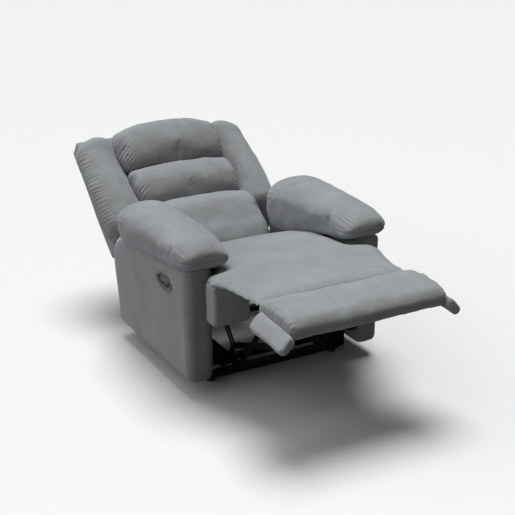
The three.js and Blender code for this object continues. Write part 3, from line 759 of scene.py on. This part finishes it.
def makeBolster(name, side):
    def lean(a, b, station):
        # thick low down beside the lumbar roll, thinner and lower at the top
        thick = 1.22 - 0.36 * fade(station, 0.04, 0.54)
        inward = 0.016 * (1 - fade(station, 0.0, 0.25)) * (1 - fade(a, 0.25, 0.36))
        belly = bolsterSet["belly"] * near(station, 0.30, 0.17) * fade(a, 0.32, 0.39) * fade(b, 0.05, 0.12)
        return a - inward + belly, b * thick

    def place(a, b, s):
        # the outer top corner droops a little
        return onBack(side * a, s - 0.014 * fade(a, 0.26, 0.41) * fade(s, 0.36, 0.56), b)

    bolster = pillow(f"backBolster_{name}", bolsterSection, place,
                     bolsterSet["low"], backSet["top"] + bolsterSet["high"], bolsterSet["rim"],
                     middle=56, shape=lean)
    puff(bolster, 0.0065, 4, 0.009)
    refine(bolster)
    wrinkle(bolster, 0.004, 7, 50 + side)
    wrinkle(bolster, 0.0012, 22, 55 + side)

    def pleats(p, n):
        s, t = backST(p)
        outer = fade(abs(p.x), 0.362, 0.402) * fade(t, 0.085, 0.12) * (1 - fade(t, 0.17, 0.23))
        inner = near(abs(p.x), 0.243, 0.018) * fade(t, 0.1, 0.15) * 0.5
        foot = (1 - fade(s, 0.03, 0.09)) * 0.6
        seam = -0.006 * near(t, 0.088, 0.006) * fade(abs(p.x), 0.37, 0.39)
        folds = bolsterSet["pleat"] * (outer + inner) * gather(s + 0.3 * t, bolsterSet["pitch"], 9)
        return folds + seam + bolsterSet["pleat"] * foot * gather(p.x, 0.02, 12)

    displace(bolster, pleats)
    finishSoft(bolster, "back", [f"back_bolster_{name}"])


for name, side in sides:
    makeBolster(name, side)

# The back's shell: flat fabric over the rear panel and round its sides
shellSet = {"half": 0.384, "rim": 0.012}


def makeBackShell():
    top = backSet["top"] - 0.006
    outline = [(-0.008, 0.004), (0.0, -0.001), (0.1, -0.002), (0.3, -0.002), (0.45, -0.002),
               (top - 0.01, 0.0), (top, 0.008), (top, 0.05), (top - 0.008, 0.084),
               (0.40, 0.088), (0.2, 0.088), (0.05, 0.088),
               (0.012, 0.074), (-0.008, 0.04)]
    piece = pillow("backShell", outline, lambda a, b, s: onBack(s, a, b), -shellSet["half"],
                   shellSet["half"], shellSet["rim"], middle=40, count=140)
    refine(piece)
    wrinkle(piece, 0.0022, 6, 140)
    displace(piece, lambda p, n: (0.0018 * noise.noise(Vector((p.x * 20, p.z * 3, 4)))
                                  * fade(abs(n.x), 0.0, 0.2)))
    finishSoft(piece, "back", ["back_panel"])


makeBackShell()
print("back ready")

# Seat and chaise: one padded run from the back to the footrest seam, widest over the two ear blocks
seatSet = {"rear": 0.486, "seam": -0.345, "corner": 0.366, "flapHalf": 0.320}
seatTop = [(0.486, 0.385), (0.470, 0.408), (0.440, 0.424), (0.360, 0.452), (0.220, 0.484), (0.090, 0.504),
           (0.0, 0.512), (-0.06, 0.516), (-0.110, 0.515), (-0.180, 0.510), (-0.250, 0.505), (-0.310, 0.508),
           (-0.338, 0.503), (-0.346, 0.496)]
seatUnder = [(0.486, 0.350), (0.440, 0.342), (0.2, 0.378), (0.02, 0.409), (-0.02, 0.418), (-0.034, 0.462),
             (-0.11, 0.470), (-0.14, 0.475), (-0.25, 0.477), (-0.335, 0.479), (-0.346, 0.484)]


def follow(table, y):
    for (y0, z0), (y1, z1) in zip(table, table[1:]):
        if y >= y1:
            part = min(max((y0 - y) / (y0 - y1), 0), 1)
            return z0 + (z1 - z0) * part
    return table[-1][1]


seatPlain = span("seat_cushion")[1].x


def seatHalf(y):
    plain = seatPlain
    wide = seatSet["corner"] + 0.002
    widen = fade(y, -0.028, -0.040)
    if y > -0.095:
        return plain + (wide - plain) * widen
    part = min((-0.095 - y) / (-0.095 - seatSet["seam"]), 1)
    return seatSet["flapHalf"] + (wide - seatSet["flapHalf"]) * (1 - part) ** 2.1


def makeSeat():
    stations = [seatSet["rear"] - 0.01 * i for i in range(52)]
    stations += [-0.026 - 0.0025 * i for i in range(9)] + [-0.055 - 0.01 * i for i in range(30)]
    stations = sorted({round(y, 4) for y in stations if y > seatSet["seam"]} | {seatSet["seam"]},
                      reverse=True)
    rings = []
    across = 56
    for y in stations:
        half = seatHalf(y)
        top = follow(seatTop, y)
        under = follow(seatUnder, y)
        thick = top - under
        middle = (top + under) / 2
        ring = []
        crown = 0.010 * fade(0.30 - abs(y - 0.2), 0, 0.3)
        for k in range(across + 1):
            v = -1 + 2 * k / across
            rise = (1 - abs(v) ** 10) ** 0.5
            ring.append(at(half * v, y, middle + thick / 2 * rise + crown * (1 - v * v) - 0.004 * v ** 4))
        for k in range(1, across):
            v = 1 - 2 * k / across
            rise = (1 - abs(v) ** 10) ** 0.5
            ring.append(at(half * v, y, middle - thick / 2 * rise))
        rings.append(ring)
    piece = meshFromRings("seatChaise", rings)
    puff(piece, 0.0075, 3, 0.006)
    refine(piece)
    wrinkle(piece, 0.0045, 6, 71)
    wrinkle(piece, 0.0015, 18, 74)

    def folds(p, n):
        chaise = 1 - fade(p.y, -0.10, -0.05)
        edge = fade(abs(p.x), seatHalf(p.y) - 0.055, seatHalf(p.y) - 0.005) * chaise
        ruched = 0.0010 * edge * gather(p.y - 0.5 * abs(p.x), 0.021, 6)
        tuck = -0.003 * near(abs(p.x), 0.311, 0.012) * near(p.y, -0.325, 0.012)
        pull = 0.002 * near(p.y, -0.30, 0.04) * gather(p.x, 0.045, 15) * fade(p.z, 0.49, 0.50)
        corner = 0.003 * near(abs(p.x), 0.33, 0.035) * near(p.y, -0.08, 0.04) * gather(p.x + p.y, 0.022, 3)
        return ruched + tuck + pull + corner

    displace(piece, folds)
    finishSoft(piece, None, ["seat_cushion", "chaise_flap"])
    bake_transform(piece)


makeSeat()


def makeEar(name, side):
    low, high = span(f"seat_ear_{name}")
    inner = min(abs(low.x), abs(high.x))
    outer = max(abs(low.x), abs(high.x))
    block = [(-0.034, 0.340), (-0.034, 0.40), (-0.034, 0.462), (-0.040, 0.482), (-0.098, 0.482),
             (-0.106, 0.466), (-0.112, 0.40), (-0.111, 0.342), (-0.098, 0.325), (-0.048, 0.325)]
    ear = pillow(f"seatEar_{name}", block, lambda a, b, s: at(side * s, a, b), inner - 0.001, outer + 0.001,
                 0.014, middle=20, count=72)
    refine(ear)
    wrinkle(ear, 0.003, 12, 90 + side)
    displace(ear, lambda p, n: 0.002 * fade(p.z, 0.44, 0.478) * gather(p.x, 0.02, 3))
    finishSoft(ear, "seat", [f"seat_ear_{name}"])


for name, side in sides:
    makeEar(name, side)
print("seat ready")

# Footrest: an end cushion that wraps its board, with a padded wing on each side
footSet = {"half": 0.321, "rim": 0.020, "pleat": 0.0026, "wingDrop": 0.0524, "stowed": 0.78}
footOutline = [(-0.338, 0.480), (-0.341, 0.500), (-0.362, 0.514), (-0.43, 0.521), (-0.51, 0.519),
               (-0.560, 0.509), (-0.582, 0.489), (-0.583, 0.464), (-0.572, 0.446), (-0.52, 0.449),
               (-0.43, 0.454), (-0.352, 0.460)]
wingSection = [(0.308, 0.454), (0.326, 0.436), (0.344, 0.420), (0.360, 0.424), (0.368, 0.440), (0.354, 0.460),
               (0.334, 0.480), (0.318, 0.484)]


def makeFootrest():
    cushion = pillow("footrestCushion", footOutline, acrossX, -footSet["half"], footSet["half"],
                     footSet["rim"], middle=60)
    puff(cushion, 0.0065, 4, 0.006)
    refine(cushion)
    wrinkle(cushion, 0.0035, 8, 111)
    wrinkle(cushion, 0.0012, 22, 114)

    def folds(p, n):
        edge = fade(abs(p.x), 0.278, 0.315) * fade(p.z, 0.475, 0.495)
        crease = -0.003 * (near(p.x, -0.107, 0.004) + near(p.x, 0.107, 0.004)) * fade(p.z, 0.502, 0.514)
        piping = -0.004 * near(p.z, 0.470, 0.004) * (1 - fade(p.y, -0.575, -0.555))
        return footSet["pleat"] * edge * gather(p.y - 0.3 * abs(p.x), 0.0155, 8) + crease + piping

    displace(cushion, folds)
    finishSoft(cushion, "footrest", ["footrest_cushion", "footrest_board"])
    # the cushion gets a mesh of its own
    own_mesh(cushion)
    for name, side in sides:
        def drop(a, b, station):
            return a, b + footSet["wingDrop"] * (station + 0.388)

        wing = pillow(f"footrestWing_{name}", wingSection, lambda a, b, s, side=side: at(side * a, s, b),
                      -0.596, -0.374, 0.018, middle=30, count=64, shape=drop)
        refine(wing)
        wrinkle(wing, 0.003, 12, 120 + side)
        displace(wing, lambda p, n: 0.002 * gather(p.y, 0.022, 4) * (1 - fade(abs(p.x), 0.325, 0.35)))
        finishSoft(wing, "footrest", [f"footrest_wing_{name}"])


makeFootrest()
print("footrest ready")

plain = [[list(map(float, corner)) for corner in box] for box in (cadBounds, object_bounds())]
